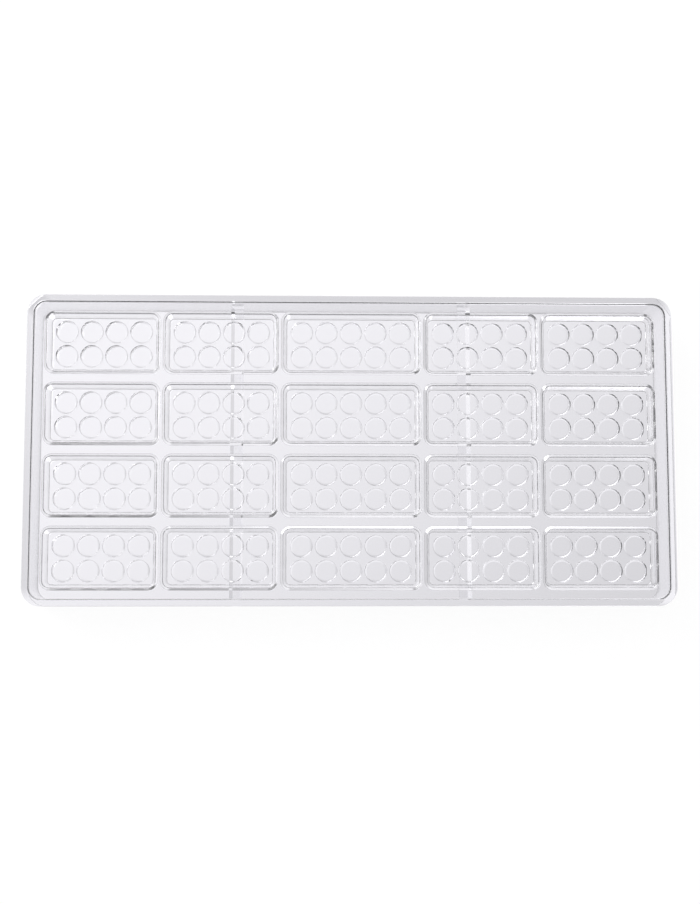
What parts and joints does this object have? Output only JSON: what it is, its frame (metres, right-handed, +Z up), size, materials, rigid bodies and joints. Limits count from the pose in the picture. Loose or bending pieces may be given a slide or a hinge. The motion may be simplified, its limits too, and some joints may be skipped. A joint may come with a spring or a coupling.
{
  "type": "chocolate mould",
  "caption": "Clear rigid tray mould for chocolate bars with rows of round studs, with a raised lip, a skirt and two ribs below.",
  "frame": {"origin": "middle of the footprint, on the plane that the skirt stands on", "axes": "+X along the long side to the right in the picture, +Y away from the viewer, +Z up out of the bars' mouths"},
  "size_m": [0.275, 0.132, 0.024],
  "materials": {
    "clear_plastic": "clear polycarbonate, polished mould surface"
  },
  "bodies": {
    "root": {"mould_tray": "clear_plastic"}
  },
  "joints": []
}
